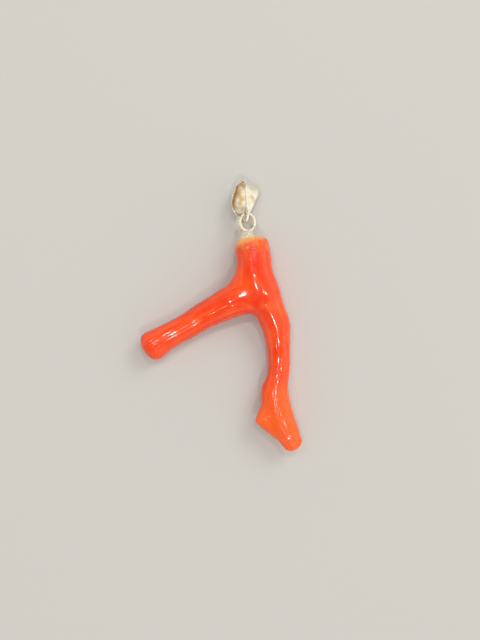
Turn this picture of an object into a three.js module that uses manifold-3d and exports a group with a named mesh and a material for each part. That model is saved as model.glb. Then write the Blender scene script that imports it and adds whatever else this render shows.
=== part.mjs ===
// A polished red coral branch worn as a pendant, lying on its back as on a table.
// The branch forks once into a left and a right branch. A silver cap is glued over the cut end of its
// stem, a ring is soldered to the cap, and a folded silver bail hangs loose in the ring.
// Millimetres. +X runs across the branch, +Y from its tips to the bail, +Z up from the table at Z = 0.
import * as THREE from "three";
import { mergeVertices } from "three/addons/utils/BufferGeometryUtils.js";
import Module from "manifold-3d";

const wasm = await Module();
wasm.setup();

// Driving dimensions of the coral. Each station is a point on a limb's spine with the half width and half
// height of the oval section there.
const station = (x, y, z, wide, high) => ({ at: new THREE.Vector3(x, y, z), wide, high });

const STEM_AND_RIGHT = [
  station(7.0, 15.4, 4.1, 3.88, 3.9),
  station(7.5, 13.0, 3.95, 3.9, 4.0),
  station(7.55, 10.9, 4.05, 4.08, 4.0),
  station(7.75, 7.9, 4.25, 4.55, 4.05),
  station(9.3, 4.4, 4.25, 4.35, 3.95),
  station(11.2, 0.9, 3.8, 3.45, 3.4),
  station(12.45, -2.3, 3.3, 3.3, 3.1),
  station(12.9, -5.4, 2.85, 2.85, 2.8),
  station(13.15, -8.5, 2.57, 2.6, 2.65),
  station(13.2, -11.8, 2.75, 2.5, 2.55),
  station(12.9, -14.1, 3.1, 2.5, 2.5),
  station(12.2, -16.8, 3.6, 3.12, 2.8),
  station(12.45, -19.4, 4.0, 3.2, 2.9),
  station(13.5, -23.0, 4.3, 3.1, 2.7),
  station(14.9, -26.0, 4.5, 2.8, 2.45),
  station(16.05, -28.2, 4.6, 2.3, 2.05),
];

const LEFT = [
  station(8.2, 4.2, 4.2, 3.8, 3.6),
  station(5.2, 4.2, 4.15, 3.9, 3.7),
  station(2.3, 3.15, 4.0, 3.7, 3.55),
  station(-0.6, 1.7, 3.65, 3.35, 3.25),
  station(-4.0, 0.0, 3.25, 3.05, 3.0),
  station(-6.8, -1.8, 3.05, 2.9, 2.95),
  station(-10.0, -3.55, 2.88, 2.85, 2.94),
  station(-13.0, -5.2, 2.92, 3.05, 2.98),
  station(-15.2, -6.6, 3.05, 3.52, 3.1),
];

// The second, shorter stub at the foot of the right branch, and the web that joins it to the tip.
const HEEL = [
  station(12.3, -18.6, 3.9, 2.9, 2.6),
  station(11.1, -21.2, 4.1, 2.35, 2.2),
  station(9.75, -23.25, 4.2, 1.95, 1.85),
];
const SOLE = [
  station(9.9, -23.2, 4.2, 1.85, 1.8),
  station(12.4, -24.9, 4.3, 2.15, 2.0),
  station(14.8, -26.2, 4.4, 2.4, 2.2),
];

// The web that fills the corner between the stem and the left branch.
const WEB = [
  station(6.7, 9.2, 4.15, 3.3, 3.6),
  station(3.8, 4.4, 4.2, 3.25, 3.6),
  station(-0.4, 1.6, 3.75, 3.05, 3.2),
];

// How far the rounded ends reach, as a share of the end section's half height. Below 1, the bluntness fills
// out their corners.
const CUT_END_DOME = 0.62;
const LEFT_END_DOME = 0.82;
const TIP_DOME = 0.95;
const BLUNTNESS = 0.8;

// The three solids of the coral meet at saw-thin planes across the fork.
const KERF = 0.3;
const KERF_SIZE = 11;
const TABLE = { size: 100, depth: 10 };
const LEFT_ROOT = { at: new THREE.Vector3(1.4, 2.9, 4.0), along: new THREE.Vector3(-0.9, -0.43, 0) };
const RIGHT_ROOT = { at: new THREE.Vector3(11.7, -0.6, 3.6), along: new THREE.Vector3(0.3, -0.95, 0) };

// Driving dimensions of the silver findings.
const CAP = { rim: 1.95, neck: 1.3, height: 1.7, lip: 0.2, bevel: 0.15 };
const CAP_AT = new THREE.Vector3(6.1, 17.35, 4.1);
const CAP_LEAN = THREE.MathUtils.degToRad(6);
const GLUE = { radius: 2.2, thickness: 0.42 };
const RING = { radius: 2.24, thickness: 0.58, width: 1.5 };
const RING_AT = new THREE.Vector3(5.75, 21.0, 4.15);
const RING_TURN = THREE.MathUtils.degToRad(32);
const GAP = 0.1;

// The bail's strip is bent into a D: a flat front leaf, a folded top and a bulged back leaf. It is drawn
// about the point where it hangs on the ring, in depth (across the leaves) and height (along them).
const BAIL = { thickness: 0.42, width: 4.5, parting: 0.3 };
const BAIL_LOOP = [
  [1.2, -1.25],
  [1.2, 0.7],
  [1.2, 3.0],
  [1.2, 5.2],
  [0.85, 6.55],
  [-0.15, 7.0],
  [-1.4, 6.4],
  [-2.25, 5.2],
  [-2.65, 3.8],
  [-2.6, 2.3],
  [-2.3, 0.9],
  [-1.75, -0.3],
  [-0.95, -1.2],
  [-0.05, -1.7],
  [0.75, -1.9],
];

// The half width of each leaf at its heights, from the foot up: the front leaf is a straight taper, the back
// leaf a broad tongue.
const FRONT_LEAF = [
  [0.42, -0.35],
  [2.25, 5.6],
];
const BACK_LEAF = [
  [0.42, -0.55],
  [0.85, -0.1],
  [1.4, 0.4],
  [1.8, 0.9],
  [2.05, 1.6],
  [2.15, 2.6],
  [2.25, 5.2],
];
const BAIL_SLIP = THREE.MathUtils.degToRad(13);
const BAIL_ROLL = THREE.MathUtils.degToRad(41);
const BAIL_DIP = THREE.MathUtils.degToRad(10.6);
const BAIL_LEAN = THREE.MathUtils.degToRad(9.5);

// Fineness of the facets.
const LIMB_SIDES = 20;
const LIMB_STEP = 1.0;
const DOME_RINGS = 5;
const TURNED_SIDES = 32;
const RING_SECTION_SIDES = 12;
const GLUE_EDGE_STEPS = 6;
const LOOP_STEPS = 56;
const WELD = 1e-4;
const UP = new THREE.Vector3(0, 0, 1);

const coralRed = new THREE.MeshStandardMaterial({ color: 0xf24a26, roughness: 0.14, metalness: 0 });
const silver = new THREE.MeshStandardMaterial({ color: 0xd8d3c4, roughness: 0.28, metalness: 1 });
const castSilver = new THREE.MeshStandardMaterial({ color: 0xcfcabb, roughness: 0.45, metalness: 1 });
const amberGlue = new THREE.MeshStandardMaterial({ color: 0xd98a2b, roughness: 0.2, metalness: 0 });

// A closed geometry as a solid that can be joined and cut.
function solidOf(geometry) {
  const bare = new THREE.BufferGeometry().setIndex(geometry.index);
  bare.setAttribute("position", geometry.getAttribute("position"));
  const welded = mergeVertices(bare, WELD);
  const vertProperties = welded.getAttribute("position").array;
  const triVerts = new Uint32Array(welded.index.array);
  return new wasm.Manifold(new wasm.Mesh({ numProp: 3, vertProperties, triVerts }));
}

// A solid back as a geometry.
function geometryOf(solid) {
  const { vertProperties, triVerts } = solid.getMesh();
  const geometry = new THREE.BufferGeometry();
  geometry.setAttribute("position", new THREE.BufferAttribute(vertProperties, 3));
  geometry.setIndex(new THREE.BufferAttribute(triVerts, 1));
  geometry.computeVertexNormals();
  return geometry;
}

function piece(name, geometry, material) {
  const mesh = new THREE.Mesh(geometry, material);
  mesh.name = name;
  return mesh;
}

// A limb of coral: a capsule bent along its spine, its section swelling and narrowing between stations.
function limb(stations, startDome, endDome) {
  const spine = new THREE.CatmullRomCurve3(stations.map(({ at }) => at));
  const sections = stations.map(({ wide, high }) => new THREE.Vector3(wide, high, 0));
  const girth = new THREE.CatmullRomCurve3(sections, false, "catmullrom");
  const length = spine.getLength();
  const rings = Math.ceil(length / LIMB_STEP);
  const geometry = new THREE.CapsuleGeometry(1, length, DOME_RINGS, LIMB_SIDES, rings);
  const corners = geometry.getAttribute("position");
  const corner = new THREE.Vector3();
  for (let i = 0; i < corners.count; i += 1) {
    corner.fromBufferAttribute(corners, i);
    const along = THREE.MathUtils.clamp(corner.y, -length / 2, length / 2);
    const t = along / length + 0.5;
    const past = corner.y - along;
    const beyond = Math.sign(past) * Math.abs(past) ** BLUNTNESS * (past < 0 ? startDome : endDome);
    const forward = spine.getTangent(t);
    const side = new THREE.Vector3().crossVectors(forward, UP).normalize();
    const over = new THREE.Vector3().crossVectors(side, forward);
    const { x: wide, y: high } = girth.getPoint(t);
    const place = spine.getPoint(t);
    place.addScaledVector(forward, beyond * high);
    place.addScaledVector(side, corner.x * wide);
    place.addScaledVector(over, corner.z * high);
    corners.setXYZ(i, place.x, place.y, place.z);
  }
  return solidOf(geometry);
}

// A thin square plate across a limb, where it is parted from the stem.
function kerf({ at, along }) {
  const plate = new THREE.BoxGeometry(KERF_SIZE, KERF_SIZE, KERF);
  const turn = new THREE.Quaternion().setFromUnitVectors(UP, along.clone().normalize());
  plate.applyQuaternion(turn);
  plate.translate(at.x, at.y, at.z);
  return solidOf(plate);
}

// Everything below the table, so that the coral is polished flat in small spots where it rests.
function table() {
  const block = new THREE.BoxGeometry(TABLE.size, TABLE.size, TABLE.depth);
  block.translate(0, 0, -TABLE.depth / 2);
  return solidOf(block);
}

function turned(profile) {
  return new THREE.LatheGeometry(profile.map(([r, y]) => new THREE.Vector2(r, y)), TURNED_SIDES);
}

// The cap is a small blunt cone with a lip, turned about its own axis, its mouth at height 0.
function capGeometry(grow) {
  const { rim, neck, height, lip, bevel } = CAP;
  return turned([
    [0, -grow],
    [rim + grow, -grow],
    [rim + grow, lip],
    [neck + grow, height - bevel],
    [neck - bevel + grow, height + grow],
    [0, height + grow],
  ]);
}

// The bead of cured glue under the cap: a disc with a rounded edge, its top at height 0.
function glueGeometry(grow) {
  const radius = GLUE.radius + grow;
  const low = -GLUE.thickness - grow;
  const edge = [];
  const half = -low / 2;
  for (let i = 0; i <= GLUE_EDGE_STEPS; i += 1) {
    const angle = -Math.PI / 2 + (Math.PI * i) / GLUE_EDGE_STEPS;
    edge.push([radius - half + half * Math.cos(angle), low + half + half * Math.sin(angle)]);
  }
  return turned([[0, low], ...edge, [0, 0]]);
}

// The ring is a band with rounded edges, turned about its own axis.
function ringGeometry(grow) {
  const thick = RING.thickness / 2 + grow;
  const wide = RING.width / 2 + grow;
  const middle = RING.radius - RING.thickness / 2;
  const profile = [];
  for (let i = 0; i <= RING_SECTION_SIDES; i += 1) {
    const angle = (2 * Math.PI * i) / RING_SECTION_SIDES;
    const x = Math.sign(Math.cos(angle)) * Math.sqrt(Math.abs(Math.cos(angle)));
    const y = Math.sign(Math.sin(angle)) * Math.sqrt(Math.abs(Math.sin(angle)));
    profile.push([middle + x * thick, y * wide]);
  }
  return turned(profile);
}

// The outline of a leaf from the front, as a block between two depths.
function leafBlock(leaf, from, to) {
  const beyond = 2 * BAIL.width;
  const [[footHalf]] = leaf;
  const [topHalf] = leaf.at(-1);
  const right = [[footHalf, -beyond], ...leaf, [topHalf, beyond]];
  const left = right.map(([half, height]) => [-half, height]).reverse();
  const outline = new THREE.Shape([...right, ...left].map(([x, y]) => new THREE.Vector2(x, y)));
  const block = new THREE.ExtrudeGeometry(outline, { depth: to - from, bevelEnabled: false });
  return solidOf(block.translate(0, 0, from));
}

// The bail: the D-shaped loop of strip, cut to the outlines of its two leaves.
function bailGeometry() {
  const { thickness, width, parting } = BAIL;
  const loop = new THREE.CatmullRomCurve3(
    BAIL_LOOP.map(([depth, height]) => new THREE.Vector3(depth, height, 0)),
    true,
  );
  const offset = (by) =>
    Array.from({ length: LOOP_STEPS }, (_, i) => {
      const at = loop.getPointAt(i / LOOP_STEPS);
      const out = loop.getTangentAt(i / LOOP_STEPS);
      return new THREE.Vector2(at.x + out.y * by, at.y - out.x * by);
    });
  const profile = new THREE.Shape(offset(thickness / 2));
  profile.holes.push(new THREE.Path(offset(-thickness / 2)));
  const strip = new THREE.ExtrudeGeometry(profile, { depth: width, bevelEnabled: false });
  strip.translate(0, 0, -width / 2);
  strip.rotateY(-Math.PI / 2);
  const front = leafBlock(FRONT_LEAF, parting, width);
  const back = leafBlock(BACK_LEAF, -width, parting);
  return geometryOf(solidOf(strip).intersect(front.add(back)));
}

// Puts a geometry turned about +Y where the cap stands on the stem.
function onStem(geometry) {
  geometry.rotateZ(CAP_LEAN);
  geometry.translate(CAP_AT.x, CAP_AT.y, CAP_AT.z);
  return geometry;
}

// Turns a ring's axis from +Y to nearly upright and puts it above the cap.
function onCap(geometry) {
  geometry.rotateX(Math.PI / 2);
  geometry.rotateY(RING_TURN);
  geometry.translate(RING_AT.x, RING_AT.y, RING_AT.z);
  return geometry;
}

// The coral, in three solids from left to right: left branch, stem, right branch.
function coralPieces() {
  const limbs = [
    limb(STEM_AND_RIGHT, CUT_END_DOME, TIP_DOME),
    limb(LEFT, TIP_DOME, LEFT_END_DOME),
    limb(HEEL, TIP_DOME, TIP_DOME),
    limb(SOLE, TIP_DOME, TIP_DOME),
    limb(WEB, TIP_DOME, TIP_DOME),
  ];
  const cuts = [
    table(),
    kerf(LEFT_ROOT),
    kerf(RIGHT_ROOT),
    solidOf(onStem(glueGeometry(GAP))),
    solidOf(onStem(capGeometry(GAP))),
  ];
  const branch = limbs.reduce((joined, next) => joined.add(next));
  const parted = cuts.reduce((kept, cut) => kept.subtract(cut), branch);
  const across = (solid) => solid.boundingBox().min[0] + solid.boundingBox().max[0];
  return parted.decompose().sort((a, b) => across(a) - across(b));
}

function findings() {
  const group = new THREE.Group();
  const glue = onStem(glueGeometry(0).translate(0, -GAP, 0));
  const cap = solidOf(onStem(capGeometry(0))).subtract(solidOf(onCap(ringGeometry(GAP))));
  group.add(piece("glue_bead", glue, amberGlue));
  group.add(piece("cap", geometryOf(cap), castSilver));
  group.add(piece("ring", onCap(ringGeometry(0)), silver));
  return group;
}

// The bail hangs a little left of the ring's top, rolled on its side and leaning to the right.
function hungBail() {
  const bail = piece("bail", bailGeometry(), silver);
  const reach = RING.radius - RING.thickness / 2;
  const slipped = new THREE.Vector3(-Math.sin(BAIL_SLIP), Math.cos(BAIL_SLIP), 0).multiplyScalar(reach);
  bail.position.copy(slipped.applyAxisAngle(new THREE.Vector3(0, 1, 0), RING_TURN)).add(RING_AT);
  bail.rotation.set(-BAIL_DIP, BAIL_ROLL, -BAIL_LEAN, "ZXY");
  return bail;
}

const [left, stem, right] = coralPieces().map(geometryOf);
const pendant = new THREE.Group();
pendant.add(piece("coral_stem", stem, coralRed));
pendant.add(piece("coral_left_branch", left, coralRed));
pendant.add(piece("coral_right_branch", right, coralRed));
pendant.add(findings());
pendant.add(hungBail());

// The origin is on the table under the middle of the whole part.
const middle = new THREE.Box3().setFromObject(pendant, true).getCenter(new THREE.Vector3());
pendant.position.set(-middle.x, -middle.y, 0);

export default pendant;
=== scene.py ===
"""A polished red coral branch pendant, dressed over its CAD solids: coral, glue, cap, ring and bail."""

import math

import bmesh
import bpy
import numpy as np
from mathutils import Matrix, Vector, noise


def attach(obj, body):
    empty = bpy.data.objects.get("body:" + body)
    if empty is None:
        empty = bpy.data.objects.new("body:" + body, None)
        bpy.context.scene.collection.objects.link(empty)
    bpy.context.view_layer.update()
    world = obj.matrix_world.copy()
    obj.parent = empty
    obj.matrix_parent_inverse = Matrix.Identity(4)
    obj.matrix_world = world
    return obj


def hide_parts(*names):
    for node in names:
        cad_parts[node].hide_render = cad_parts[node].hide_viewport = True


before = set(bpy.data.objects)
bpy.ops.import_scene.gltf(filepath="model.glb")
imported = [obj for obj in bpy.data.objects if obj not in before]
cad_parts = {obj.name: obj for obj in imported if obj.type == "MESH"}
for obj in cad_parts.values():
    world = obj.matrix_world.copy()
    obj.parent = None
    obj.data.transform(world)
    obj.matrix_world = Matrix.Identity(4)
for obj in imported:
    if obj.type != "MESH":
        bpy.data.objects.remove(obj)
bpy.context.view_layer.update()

MM = 0.001

# Where the CAD puts the findings, in the row frame. Lengths in millimetres, angles in degrees.
CAP_AT = (5.994, 17.278, 4.1)
CAP_LEAN = 6
RING_AT = (5.644, 20.928, 4.15)
RING_TURN = 32
BAIL_AT = (5.272, 22.828, 4.382)
BAIL_ROLL, BAIL_DIP, BAIL_LEAN = 41, 10.6, 9.5

# The coral's limbs, as the lines its grain follows from the root outwards.
STEM_AND_RIGHT_GRAIN = [
    (6.5, 19.0, 4.1), (7.3, 13.0, 4.0), (7.6, 7.8, 4.2), (9.1, 4.3, 4.2), (11.0, 0.8, 3.8),
    (12.3, -2.4, 3.3), (13.0, -8.6, 2.6), (12.7, -14.2, 3.1), (12.3, -19.5, 4.0), (13.4, -23.1, 4.3),
    (15.9, -28.3, 4.6), (17.0, -31.0, 4.7),
]
LEFT_GRAIN = [
    (8.0, 4.1, 4.2), (2.1, 3.2, 4.0), (-4.2, 0.0, 3.2), (-10.2, -3.7, 2.9), (-15.2, -6.7, 3.2),
    (-19.0, -9.3, 3.3),
]
HEEL_GRAIN = [(12.1, -18.7, 3.9), (9.6, -23.3, 4.2), (8.2, -25.6, 4.2)]

# How near two vertices are to be merged: on the copies of the CAD solids, and at the seam of a turned shape.
CAD_MERGE_MM, SEAM_MERGE_MM = 0.002, 0.001

# The most that a sharp corner moves when a surface swells, as a multiple of the swelling.
SHARPEST_SWELL = 1.5

# The coral skin: how far it is closed over creases, how fine it is, and how long it is evened and polished.
CLOSE_MM = 0.8
VOXEL_MM = 0.175
EVEN_OUT, POLISH = 24, 30

# The crotch of the fork keeps a crease, so it is smoothed once more on its own.
FORK_AT, FORK_REACH_MM, FORK_ROUNDS = (6.0, 4.8, 8.0), 4.5, 150

# The coral's grain: the girth and the pull along the limb that make streaks, the step along it, and how
# sharply one limb's grain gives way to the next.
GRAIN_GIRTH_MM, GRAIN_PULL, GRAIN_STEP_MM, GRAIN_GIVE_WAY = 3.0, 0.12, 0.25, 6.0

# The relief of the polish: low lumps, lengthwise ribs that stand higher on the foot, and fine pits.
LUMP_MM, LUMP_HEIGHT_MM = 7.0, 0.05
RIB_MM, RIB_HEIGHT_MM, FOOT_RIB_HEIGHT_MM = 1.6, 0.006, 0.05
FOOT_FROM_MM, FOOT_TO_MM = -13.0, -20.0
PIT_MM, PIT_HEIGHT_MM = 0.5, 0.13

# The glue film: where it is cut off inside the coral, its ragged lower edge, and how thick it stands.
GLUE_FROM_MM, GLUE_EDGE_MM = 13.0, 14.7
GLUE_RAGGED_SIZE_MM, GLUE_RAGGED_MM = 1.3, 0.9
GLUE_SLOPE, GLUE_FILM_MM, GLUE_SHELL_MM = 0.12, 0.12, 0.4
GLUE_RIPPLE_SIZE_MM, GLUE_RIPPLE_MM = 0.55, 0.16
GLUE_VOXEL_MM, GLUE_EVEN_OUT = 0.1, 3

# Its collar round the cap's mouth: an oval section a little below it, and waves, as (size, height).
COLLAR_RADIUS, COLLAR_HALF_WIDTH, COLLAR_HALF_HEIGHT, COLLAR_DROP = 1.9, 0.36, 0.3, 0.12
COLLAR_WAVES = (0.9, 0.2)
COLLAR_STEPS = 64

# Its amber: full at the cap, fading over the second length, and gone after the first number of such lengths.
AMBER_ENDS, AMBER_FADE_MM = 1.6, 2.7

# The cap's half section from its mouth to its top, as (radius, height), and its dents, as (size, height).
CAP_SECTION = [(0, 0), (1.95, 0), (1.95, 0.2), (1.3, 1.55), (1.15, 1.7), (0, 1.7)]
CAP_DENTS = [(0.5, 0.12), (0.2, 0.04)]
CAP_VOXEL_MM, CAP_EVEN_OUT = 0.07, 4
CAP_STEPS = 48

# A rounded edge: the angle from which it is sharp, in radians, how far it is rounded, and in how many steps.
RING_EDGE = (0.7, 0.09, 3)
BAIL_EDGE = (1.0, 0.16, 4)
RING_INNER, RING_OUTER, RING_HALF_WIDTH = 1.66, 2.24, 0.75
RING_STEPS = 72

# Spots that were polished less and stay finely pitted: the cut end, the tips, the heel and the ankle.
PITTED_SPOTS = [
    ((7.0, 15.5, 7.5), 4.2), ((-15.8, -7.2, 6.0), 3.2), ((9.6, -23.4, 6.0), 2.6), ((15.7, -28.0, 6.6), 2.6),
    ((12.9, -13.9, 5.5), 2.2), ((12.9, -20.5, 6.8), 3.0),
]


def linear(hex_colour):
    """An sRGB hex value as a linear colour."""
    parts = [int(hex_colour[i : i + 2], 16) / 255 for i in (1, 3, 5)]
    return tuple(c / 12.92 if c <= 0.04045 else ((c + 0.055) / 1.055) ** 2.4 for c in parts) + (1.0,)


def add(tree, kind, values=None, links=None, **settings):
    """Adds one node: settings are its properties, values and links what goes into its sockets."""
    made = tree.nodes.new(kind)
    for name, value in settings.items():
        setattr(made, name, value)
    for socket, value in (values or {}).items():
        made.inputs[socket].default_value = value
    for socket, source in (links or {}).items():
        tree.links.new(source, made.inputs[socket])
    return made


def new_material(name):
    """An empty material and its node tree."""
    material = bpy.data.materials.new(name)
    material.use_nodes = True
    tree = material.node_tree
    tree.nodes.clear()
    return material, tree


def show(tree, shader):
    """Makes a shader the surface of its material."""
    add(tree, "ShaderNodeOutputMaterial", links={"Surface": shader.outputs[0]})


def per_mm(size_mm):
    """The texture scale that makes a pattern of this size on Object coordinates, which are in metres."""
    return 1 / (size_mm * MM)


def polished_red_coral():
    """Red coral, cut and polished: hard, glassy and warm, a saturated orange red that goes paler in
    lengthwise streaks and clouds, more orange at the foot, with a few darker pinholes and a fine lengthwise
    grain. The grain attribute is in millimetres, so a scale on it is one over a size."""
    material, tree = new_material("polished_red_coral")
    place = add(tree, "ShaderNodeTexCoord")
    grain = add(tree, "ShaderNodeAttribute", attribute_name="grain")
    clouds = add(tree, "ShaderNodeTexNoise", {"Scale": per_mm(6), "Detail": 3, "Roughness": 0.55},
                 {"Vector": place.outputs["Object"]})
    cloud_share = add(tree, "ShaderNodeMapRange", {"From Min": 0.35, "From Max": 0.7},
                      {"Value": clouds.outputs["Fac"]})
    body = add(tree, "ShaderNodeMix", {"A": linear("#EC3608"), "B": linear("#F85414")},
               {"Factor": cloud_share.outputs[0]}, data_type="RGBA")
    streaks = add(tree, "ShaderNodeTexNoise", {"Scale": 1 / 0.9, "Detail": 4, "Roughness": 0.6},
                  {"Vector": grain.outputs["Vector"]})
    streak_share = add(tree, "ShaderNodeMapRange", {"From Min": 0.48, "From Max": 0.78, "To Max": 0.4},
                       {"Value": streaks.outputs["Fac"]})
    streaked = add(tree, "ShaderNodeMix", {"B": linear("#FF8246")},
                   {"Factor": streak_share.outputs[0], "A": body.outputs["Result"]}, data_type="RGBA")
    height = add(tree, "ShaderNodeSeparateXYZ", links={"Vector": place.outputs["Object"]})
    foot_share = add(tree, "ShaderNodeMapRange",
                     {"From Min": FOOT_FROM_MM * MM, "From Max": FOOT_TO_MM * MM, "To Max": 0.5},
                     {"Value": height.outputs["Y"]})
    footed = add(tree, "ShaderNodeMix", {"B": linear("#FF7220")},
                 {"Factor": foot_share.outputs[0], "A": streaked.outputs["Result"]}, data_type="RGBA")
    pinholes = add(tree, "ShaderNodeTexVoronoi", {"Scale": per_mm(1.6), "Randomness": 1.0},
                   {"Vector": place.outputs["Object"]})
    pinhole_share = add(tree, "ShaderNodeMapRange", {"From Min": 0.10, "From Max": 0.05, "To Max": 0.4},
                        {"Value": pinholes.outputs["Distance"]})
    colour = add(tree, "ShaderNodeMix", {"B": linear("#C2300F")},
                 {"Factor": pinhole_share.outputs[0], "A": footed.outputs["Result"]}, data_type="RGBA")
    polish = add(tree, "ShaderNodeTexNoise", {"Scale": per_mm(2.5), "Detail": 2},
                 {"Vector": place.outputs["Object"]})
    roughness = add(tree, "ShaderNodeMapRange", {"To Min": 0.09, "To Max": 0.16},
                    {"Value": polish.outputs["Fac"]})
    fine = add(tree, "ShaderNodeTexNoise", {"Scale": 1 / 0.35, "Detail": 2},
               {"Vector": grain.outputs["Vector"]})
    bump = add(tree, "ShaderNodeBump", {"Strength": 0.2, "Distance": 0.02 * MM},
               {"Height": fine.outputs["Fac"]})
    shader = add(tree, "ShaderNodeBsdfPrincipled",
                 {"IOR": 1.55, "Subsurface Weight": 0.15, "Subsurface Radius": (1.0, 0.3, 0.15),
                  "Subsurface Scale": 0.8 * MM},
                 {"Base Color": colour.outputs["Result"], "Roughness": roughness.outputs[0],
                  "Normal": bump.outputs["Normal"]})
    show(tree, shader)
    return material


def worn_silver(name, bright, dull, sleek, rough, grit_mm, grit_height_mm):
    """Silver, rolled or cast and then worn: a warm white metal, its polish broken by handling marks, with a
    yellow-brown tarnish in patches and in its hollows."""
    material, tree = new_material(name)
    place = add(tree, "ShaderNodeTexCoord")
    hollow = add(tree, "ShaderNodeAttribute", attribute_name="hollow")
    patches = add(tree, "ShaderNodeTexNoise", {"Scale": per_mm(1.6), "Detail": 4, "Roughness": 0.6},
                  {"Vector": place.outputs["Object"]})
    sheltered = add(tree, "ShaderNodeMath", links={0: hollow.outputs["Fac"], 1: patches.outputs["Fac"]},
                    operation="MULTIPLY")
    browning = add(tree, "ShaderNodeMath", {1: 0.35}, {0: sheltered.outputs[0], 2: patches.outputs["Fac"]},
                   operation="MULTIPLY_ADD")
    tarnish = add(tree, "ShaderNodeMapRange", {"From Min": 0.55, "From Max": 0.8},
                  {"Value": browning.outputs[0]})
    colour = add(tree, "ShaderNodeMix", {"A": linear(bright), "B": linear(dull)},
                 {"Factor": tarnish.outputs[0]}, data_type="RGBA")
    marks = add(tree, "ShaderNodeTexNoise", {"Scale": per_mm(grit_mm), "Detail": 3, "Roughness": 0.65},
                {"Vector": place.outputs["Object"]})
    roughness = add(tree, "ShaderNodeMapRange",
                    {"From Min": 0.3, "From Max": 0.7, "To Min": sleek, "To Max": rough},
                    {"Value": marks.outputs["Fac"]})
    bump = add(tree, "ShaderNodeBump", {"Strength": 0.6, "Distance": grit_height_mm * MM},
               {"Height": marks.outputs["Fac"]})
    shader = add(tree, "ShaderNodeBsdfPrincipled", {"Metallic": 1.0},
                 {"Base Color": colour.outputs["Result"], "Roughness": roughness.outputs[0],
                  "Normal": bump.outputs["Normal"]})
    show(tree, shader)
    return material


def cured_glue():
    """Clear glue, cured and yellowed: glassy, amber where it stands thick against the cap, and the coral's
    own orange where it runs out thin."""
    material, tree = new_material("cured_amber_glue")
    place = add(tree, "ShaderNodeTexCoord")
    depth = add(tree, "ShaderNodeAttribute", attribute_name="depth")
    cloud = add(tree, "ShaderNodeTexNoise", {"Scale": per_mm(1.1), "Detail": 3, "Roughness": 0.6},
                {"Vector": place.outputs["Object"]})
    share = add(tree, "ShaderNodeMath", {1: 0.9}, {0: cloud.outputs["Fac"], 2: depth.outputs["Fac"]},
                operation="MULTIPLY_ADD")
    amber = add(tree, "ShaderNodeMapRange", {"From Min": 0.4, "From Max": 1.2}, {"Value": share.outputs[0]})
    colour = add(tree, "ShaderNodeMix", {"A": linear("#F6561A"), "B": linear("#FFC070")},
                 {"Factor": amber.outputs[0]}, data_type="RGBA")
    shader = add(tree, "ShaderNodeBsdfPrincipled",
                 {"Roughness": 0.06, "IOR": 1.5, "Transmission Weight": 0.1, "Subsurface Weight": 0.15,
                  "Subsurface Radius": (1.0, 0.5, 0.2), "Subsurface Scale": 0.8 * MM},
                 {"Base Color": colour.outputs["Result"]})
    show(tree, shader)
    return material


def pale_floor():
    """Matt pale board, plain."""
    material, tree = new_material("pale_board")
    shader = add(tree, "ShaderNodeBsdfPrincipled", {"Base Color": linear("#C4C2BD"), "Roughness": 0.9})
    show(tree, shader)
    return material


def as_object(name, bm, material):
    """A finished bmesh as a smooth-shaded object at the origin."""
    mesh = bpy.data.meshes.new(name)
    bm.to_mesh(mesh)
    bm.free()
    mesh.shade_smooth()
    piece = bpy.data.objects.new(name, mesh)
    bpy.context.scene.collection.objects.link(piece)
    mesh.materials.append(material)
    return piece


def one_skin(piece, voxel_mm):
    """Remeshes a piece to one even skin, and gives it back as a bmesh."""
    remesh = piece.modifiers.new("one_skin", "REMESH")
    remesh.mode = "VOXEL"
    remesh.voxel_size = voxel_mm * MM
    shaped = bpy.data.meshes.new_from_object(piece.evaluated_get(bpy.context.evaluated_depsgraph_get()))
    piece.modifiers.clear()
    piece.data = shaped
    bm = bmesh.new()
    bm.from_mesh(shaped)
    return bm


def smooth(bm, rounds, verts=None):
    """Evens out a surface, or only the part of it that is given."""
    chosen = verts or bm.verts
    for _ in range(rounds):
        bmesh.ops.smooth_vert(bm, verts=chosen, factor=0.5,
                              use_axis_x=True, use_axis_y=True, use_axis_z=True)


def polish(bm, rounds):
    """Takes the facets off and keeps the girth: smooths, then takes back the even share of the move."""
    rough = [v.co.copy() for v in bm.verts]
    smooth(bm, rounds)
    worn = [v.co.copy() for v in bm.verts]
    for vert, before in zip(bm.verts, rough):
        vert.co -= before
    smooth(bm, rounds)
    for vert, place in zip(bm.verts, worn):
        vert.co = place - vert.co


def swell(bm, by_mm):
    """Moves a surface out along its normals, or in where the value is negative."""
    bm.normal_update()
    moved = [v.co + v.normal * by_mm * MM * min(v.calc_shell_factor(), SHARPEST_SWELL) for v in bm.verts]
    for vert, place in zip(bm.verts, moved):
        vert.co = place


def ruffle(bm, size_mm, height_mm):
    """Pushes a surface in and out by noise."""
    bm.normal_update()
    moved = [v.co + v.normal * noise.noise(v.co / (size_mm * MM)) * height_mm * MM for v in bm.verts]
    for vert, place in zip(bm.verts, moved):
        vert.co = place


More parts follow.
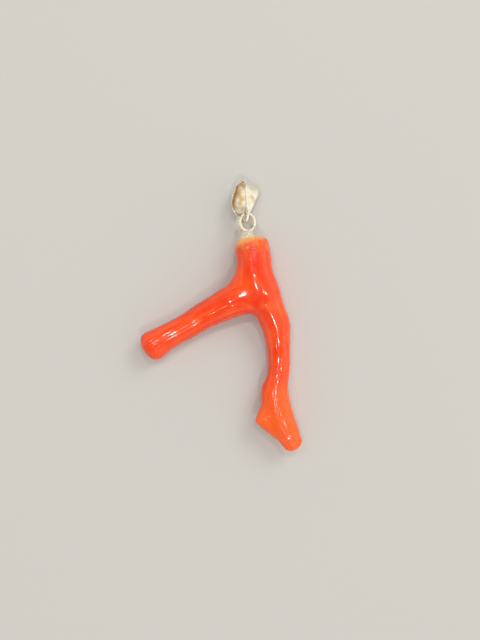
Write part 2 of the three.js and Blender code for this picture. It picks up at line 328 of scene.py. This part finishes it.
def grain_of(places):
    """How far round and along its limb each place lies, in millimetres, with the length drawn out so that
    noise makes long streaks. Limbs blend where they join."""
    total = np.zeros((len(places), 3))
    shares = np.zeros((len(places), 1))
    for line in (STEM_AND_RIGHT_GRAIN, LEFT_GRAIN, HEEL_GRAIN):
        knots = np.array(line, float)
        runs = np.concatenate([[0], np.cumsum(np.linalg.norm(np.diff(knots, axis=0), axis=1))])
        stops = np.arange(0, runs[-1], GRAIN_STEP_MM)
        spine = np.stack([np.interp(stops, runs, knots[:, axis]) for axis in range(3)], 1)
        forward = np.gradient(spine, axis=0)
        forward /= np.linalg.norm(forward, axis=1, keepdims=True)
        gaps = (places**2).sum(1)[:, None] + (spine**2).sum(1)[None] - 2 * places @ spine.T
        near = gaps.argmin(1)
        away = places - spine[near]
        side = np.cross(forward[near], (0, 0, 1))
        side /= np.linalg.norm(side, axis=1, keepdims=True)
        over = np.cross(side, forward[near])
        angle = np.arctan2((away * over).sum(1), (away * side).sum(1))
        across, above = GRAIN_GIRTH_MM * np.cos(angle), GRAIN_GIRTH_MM * np.sin(angle)
        flow = np.stack([across, above, stops[near] * GRAIN_PULL], 1)
        share = np.linalg.norm(away, axis=1, keepdims=True) ** -GRAIN_GIVE_WAY
        total += share * flow
        shares += share
    return total / shares


def pitting(place_mm):
    """How pitted the coral is at a place, from 0 to 1."""
    nearness = [1 - (Vector(place_mm) - Vector(spot)).length / reach for spot, reach in PITTED_SPOTS]
    return max(*nearness, 0) ** 0.5


def coral_branch():
    """The three coral solids as one skin: closed over the parting gaps and the creases at the forks, and
    polished, with the low lumps and lengthwise ribs that polishing leaves, and fine pits where it reached
    less."""
    bm = bmesh.new()
    for name in ("coral_stem", "coral_left_branch", "coral_right_branch"):
        bm.from_mesh(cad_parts[name].data)
    bmesh.ops.remove_doubles(bm, verts=bm.verts, dist=CAD_MERGE_MM * MM)
    swell(bm, CLOSE_MM)
    coral = as_object("coral_branch", bm, polished_red_coral())
    bm = one_skin(coral, VOXEL_MM)
    smooth(bm, EVEN_OUT)
    swell(bm, -CLOSE_MM)
    polish(bm, POLISH)
    crotch = [v for v in bm.verts if (v.co / MM - Vector(FORK_AT)).length < FORK_REACH_MM]
    smooth(bm, FORK_ROUNDS, crotch)
    bm.normal_update()
    places = np.array([v.co for v in bm.verts]) / MM
    flows = grain_of(places)
    for vert, place, flow in zip(bm.verts, places, flows):
        foot = min(max((FOOT_FROM_MM - place[1]) / (FOOT_FROM_MM - FOOT_TO_MM), 0), 1)
        lump = noise.noise(Vector(place) / LUMP_MM) * LUMP_HEIGHT_MM
        rib = noise.noise(Vector(flow) / RIB_MM) * (RIB_HEIGHT_MM + foot * FOOT_RIB_HEIGHT_MM)
        pit = noise.noise(Vector(place) / PIT_MM) * PIT_HEIGHT_MM * pitting(place)
        vert.co += vert.normal * (lump + rib + pit) * MM
        vert.co.z = max(vert.co.z, 0)
    bm.to_mesh(coral.data)
    bm.free()
    coral.data.shade_smooth()
    drawn = coral.data.attributes.new("grain", "FLOAT_VECTOR", "POINT")
    drawn.data.foreach_set("vector", flows.astype(np.float32).ravel())
    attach(coral, "pendant")
    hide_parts("coral_stem", "coral_left_branch", "coral_right_branch")
    return coral


def turned(profile_mm, steps):
    """A profile of (radius, height) turned once round the Z axis."""
    bm = bmesh.new()
    verts = [bm.verts.new((r * MM, 0, h * MM)) for r, h in profile_mm]
    edges = [bm.edges.new(pair) for pair in zip(verts, verts[1:])]
    bmesh.ops.spin(bm, geom=verts + edges, axis=(0, 0, 1), cent=(0, 0, 0), angle=2 * math.pi, steps=steps,
                   use_merge=True)
    bmesh.ops.remove_doubles(bm, verts=bm.verts, dist=SEAM_MERGE_MM * MM)
    bmesh.ops.recalc_face_normals(bm, faces=bm.faces)
    return bm


def soften(bm, angle, offset_mm, segments):
    """Rounds every edge sharper than this angle."""
    sharp = [e for e in bm.edges if e.is_manifold and e.calc_face_angle() > angle]
    bmesh.ops.bevel(bm, geom=sharp, offset=offset_mm * MM, affect="EDGES", segments=segments, profile=0.5,
                    material=-1)


def put(bm, at, *turns):
    """Turns a bmesh, the last turn first, and puts it in its place."""
    matrix = Matrix.Translation(Vector(at) * MM)
    for degrees, axis in turns:
        matrix = matrix @ Matrix.Rotation(math.radians(degrees), 4, axis)
    bmesh.ops.transform(bm, matrix=matrix, verts=bm.verts)


def silver_cap(material):
    """A small rough cone, its mouth on the glue and its top soldered to the ring."""
    bm = turned(CAP_SECTION, CAP_STEPS)
    put(bm, CAP_AT, (CAP_LEAN, "Z"), (-90, "X"))
    cap = as_object("silver_cap", bm, material)
    bm = one_skin(cap, CAP_VOXEL_MM)
    smooth(bm, CAP_EVEN_OUT)
    for size_mm, height_mm in CAP_DENTS:
        ruffle(bm, size_mm, height_mm)
    bm.to_mesh(cap.data)
    bm.free()
    cap.data.shade_smooth()
    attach(cap, "pendant")
    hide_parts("cap")


def silver_ring(material):
    """A flat band with rounded edges, turned to stand across the cap."""
    inner, outer, half = RING_INNER, RING_OUTER, RING_HALF_WIDTH
    section = [(inner, -half), (outer, -half), (outer, half), (inner, half), (inner, -half)]
    bm = turned(section, RING_STEPS)
    soften(bm, *RING_EDGE)
    put(bm, RING_AT, (RING_TURN, "Y"))
    ring = as_object("silver_ring", bm, material)
    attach(ring, "pendant")
    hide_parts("ring")


def glue_film(coral):
    """Glue squeezed out under the cap: a wavy collar round its mouth, and a film over the end of the coral
    that runs out below a ragged edge, where it sinks under the coral's own surface."""
    film = bmesh.new()
    film.from_mesh(coral.data)
    whole = film.verts[:] + film.edges[:] + film.faces[:]
    bmesh.ops.bisect_plane(film, geom=whole, plane_co=(0, GLUE_FROM_MM * MM, 0), plane_no=(0, 1, 0),
                           clear_inner=True)
    film.normal_update()
    for vert in film.verts:
        place = vert.co / MM
        edge = GLUE_EDGE_MM + GLUE_RAGGED_MM * noise.noise(place / GLUE_RAGGED_SIZE_MM)
        stand = min(max((place.y - edge) * GLUE_SLOPE, -GLUE_FILM_MM), GLUE_FILM_MM)
        ripple = GLUE_RIPPLE_MM * noise.noise(place / GLUE_RIPPLE_SIZE_MM) * max(stand, 0) / GLUE_FILM_MM
        vert.co += vert.normal * (stand + ripple) * MM
    film.normal_update()
    inner = bmesh.ops.extrude_face_region(film, geom=film.faces[:], use_keep_orig=True)["geom"]
    for vert in (v for v in inner if isinstance(v, bmesh.types.BMVert)):
        vert.co -= vert.normal * GLUE_SHELL_MM * MM
    bmesh.ops.recalc_face_normals(film, faces=film.faces)
    turns = [hour * math.pi / 6 for hour in range(13)]
    collar = [(COLLAR_RADIUS + COLLAR_HALF_WIDTH * math.cos(turn),
               COLLAR_HALF_HEIGHT * math.sin(turn) - COLLAR_DROP) for turn in turns]
    bead = turned(collar, COLLAR_STEPS)
    put(bead, CAP_AT, (CAP_LEAN, "Z"), (-90, "X"))
    ruffle(bead, *COLLAR_WAVES)
    rim = bpy.data.meshes.new("rim")
    bead.to_mesh(rim)
    bead.free()
    film.from_mesh(rim)
    bpy.data.meshes.remove(rim)
    glue = as_object("glue_film", film, cured_glue())
    bm = one_skin(glue, GLUE_VOXEL_MM)
    smooth(bm, GLUE_EVEN_OUT)
    depth = bm.verts.layers.float.new("depth")
    for vert in bm.verts:
        away = (vert.co / MM - Vector(CAP_AT)).length
        vert[depth] = min(max(AMBER_ENDS - away / AMBER_FADE_MM, 0), 1)
    bm.to_mesh(glue.data)
    bm.free()
    glue.data.shade_smooth()
    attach(glue, "pendant")
    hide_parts("glue_bead")


# The bail's strip seen from its edge, as (depth, height) about the point where it hangs.
BAIL_LOOP = [
    (1.2, -1.25), (1.2, 0.7), (1.2, 3.0), (1.2, 5.2), (0.85, 6.55), (-0.15, 7.0), (-1.4, 6.4),
    (-2.25, 5.2), (-2.65, 3.8), (-2.6, 2.3), (-2.3, 0.9), (-1.75, -0.3), (-0.95, -1.2), (-0.05, -1.7),
    (0.75, -1.9),
]
BAIL_THICKNESS = 0.42

# The depth at which the front leaf gives over to the back leaf.
BAIL_PARTING = 0.3

# The middle of the loop, which tells its inside from its outside, and how fast one fades to the other.
BAIL_MIDDLE_HEIGHT, BAIL_MIDDLE_DEPTH, HOLLOW_FADE = 2.8, -0.9, 2

# The dents of the strip, as (size, height).
BAIL_DENTS = (1.4, 0.03)

# The half width of each leaf of the strip at its heights, as (height, half width).
FRONT_LEAF = [(-0.35, 0.42), (5.6, 2.25)]
BACK_LEAF = [(-0.55, 0.42), (-0.1, 0.85), (0.4, 1.4), (0.9, 1.8), (1.6, 2.05), (2.6, 2.15), (5.2, 2.25)]
LOOP_CUTS = 8
STRIP_CUTS = 7


def rounded(points, cuts):
    """A closed line through the points, curved between them."""
    line = []
    for i in range(len(points)):
        a, b, c, d = (np.array(points[(i + k) % len(points)], float) for k in (-1, 0, 1, 2))
        for t in np.arange(cuts) / cuts:
            bend = (2 * a - 5 * b + 4 * c - d) * t**2 + (3 * b - a - 3 * c + d) * t**3
            line.append(0.5 * (2 * b + (c - a) * t + bend))
    return line


def bail_half_width(height, depth):
    """Half the width of the strip at a point of the loop."""
    leaf = FRONT_LEAF if depth > BAIL_PARTING else BACK_LEAF
    return np.interp(height, *zip(*leaf))


def silver_bail(material):
    """A tapered silver strip, folded into a loop and closed at its narrow foot."""
    bm = bmesh.new()
    line = [bm.verts.new((0, height * MM, depth * MM)) for depth, height in rounded(BAIL_LOOP, LOOP_CUTS)]
    edges = [bm.edges.new((a, b)) for a, b in zip(line, line[1:] + line[:1])]
    extruded = bmesh.ops.extrude_edge_only(bm, edges=edges)["geom"]
    other = {v for v in extruded if isinstance(v, bmesh.types.BMVert)}
    for vert in bm.verts:
        half = bail_half_width(vert.co.y / MM, vert.co.z / MM) * MM
        vert.co.x = half if vert in other else -half
    across = [e for e in bm.edges if (e.verts[0] in other) != (e.verts[1] in other)]
    bmesh.ops.subdivide_edges(bm, edges=across, cuts=STRIP_CUTS)
    bmesh.ops.recalc_face_normals(bm, faces=bm.faces)
    swell(bm, BAIL_THICKNESS / 2)
    bmesh.ops.solidify(bm, geom=bm.faces[:], thickness=BAIL_THICKNESS * MM)
    soften(bm, *BAIL_EDGE)
    ruffle(bm, *BAIL_DENTS)
    middle = Vector((0, BAIL_MIDDLE_HEIGHT * MM, BAIL_MIDDLE_DEPTH * MM))
    bm.normal_update()
    hollow = bm.verts.layers.float.new("hollow")
    for vert in bm.verts:
        out = vert.normal.dot((Vector((0, vert.co.y, vert.co.z)) - middle).normalized())
        vert[hollow] = min(max(-out * HOLLOW_FADE, 0), 1)
    put(bm, BAIL_AT, (-BAIL_LEAN, "Z"), (-BAIL_DIP, "X"), (BAIL_ROLL, "Y"))
    bail = as_object("silver_bail", bm, material)
    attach(bail, "bail")
    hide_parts("bail")


# Small ceiling lamps, whose glints stand in the polish: where each hangs, in metres, and its power in watts.
LAMP_HEIGHT, LAMP_SIZE = 1.3, 0.05
CEILING_LAMPS = [
    (-0.13, -0.03, 2.6), (0.19, -0.6, 2.6), (0.45, 0.0, 0.7), (-0.4, -0.55, 0.7), (0.15, 0.5, 2.2),
    (-0.35, 0.45, 1.6),
]

# The soft box, which gives light and no glint, the light of the room, and the board.
SOFT_BOX_AT, SOFT_BOX_SIZE, SOFT_BOX_POWER = (0.7, 0.7, 0.9), 0.6, 5.5
ROOM_LIGHT = 1.1
BOARD_HALF_SIDE, BOARD_DROP_MM = 3.0, 0.05

# Where the camera hangs above the pendant, in millimetres.
CAMERA_AT = (4.282, -0.972, 203.5)


def lamp(name, at, size, power, in_gloss=True):
    """A square lamp that faces the pendant."""
    light = bpy.data.lights.new(name, "AREA")
    light.shape = "SQUARE"
    light.size = size
    light.energy = power
    holder = bpy.data.objects.new(name, light)
    holder.location = at
    holder.rotation_euler = Vector(at).to_track_quat("Z", "Y").to_euler()
    holder.visible_glossy = in_gloss
    bpy.context.scene.collection.objects.link(holder)


def soft_room():
    """A dim ceiling, and walls that are bright and warm towards the horizon, most of all on the right."""
    world = bpy.data.worlds.new("soft_room")
    world.use_nodes = True
    tree = world.node_tree
    way = add(tree, "ShaderNodeTexCoord")
    split = add(tree, "ShaderNodeSeparateXYZ", links={"Vector": way.outputs["Generated"]})
    up = add(tree, "ShaderNodeMapRange", {"From Min": 0.0, "From Max": 0.75}, {"Value": split.outputs["Z"]})
    walls = add(tree, "ShaderNodeMix", {"A": linear("#FFF6E6"), "B": linear("#7C7C7E")},
                {"Factor": up.outputs[0]}, data_type="RGBA")
    right = add(tree, "ShaderNodeMapRange", {"From Min": 0.2, "From Max": 0.9, "To Max": 0.9},
                {"Value": split.outputs["X"]})
    lit = add(tree, "ShaderNodeMix", {"B": linear("#FFFBF2")},
              {"Factor": right.outputs[0], "A": walls.outputs["Result"]}, data_type="RGBA")
    tree.links.new(lit.outputs["Result"], tree.nodes["Background"].inputs["Color"])
    tree.nodes["Background"].inputs["Strength"].default_value = ROOM_LIGHT
    bpy.context.scene.world = world


def studio():
    """A pale board in a soft room, with six small ceiling lamps and a soft box from the upper right."""
    bm = bmesh.new()
    bmesh.ops.create_grid(bm, x_segments=1, y_segments=1, size=BOARD_HALF_SIDE)
    floor = as_object("floor", bm, pale_floor())
    floor.location.z = -BOARD_DROP_MM * MM
    for number, (across, along, power) in enumerate(CEILING_LAMPS):
        lamp(f"ceiling_{number}", (across, along, LAMP_HEIGHT), LAMP_SIZE, power)
    lamp("soft_box", SOFT_BOX_AT, SOFT_BOX_SIZE, SOFT_BOX_POWER, in_gloss=False)
    soft_room()
    bpy.context.scene.view_settings.view_transform = "Standard"


def photo_camera():
    """Straight above the pendant, as the photograph was taken."""
    camera = bpy.data.cameras.new("camera")
    camera.lens = 50
    camera.sensor_width = 36
    camera.clip_start = 0.01
    holder = bpy.data.objects.new("camera", camera)
    holder.location = Vector(CAMERA_AT) * MM
    bpy.context.scene.collection.objects.link(holder)
    bpy.context.scene.camera = holder


polished = worn_silver("polished_silver_strip", bright="#F8F1E0", dull="#D6B988", sleek=0.14, rough=0.28,
                       grit_mm=0.5, grit_height_mm=0.02)
cast = worn_silver("cast_silver", bright="#F6EEDA", dull="#D2BC90", sleek=0.25, rough=0.5,
                   grit_mm=0.3, grit_height_mm=0.08)
photo_camera()
studio()
branch = coral_branch()
glue_film(branch)
silver_cap(cast)
silver_ring(polished)
silver_bail(polished)
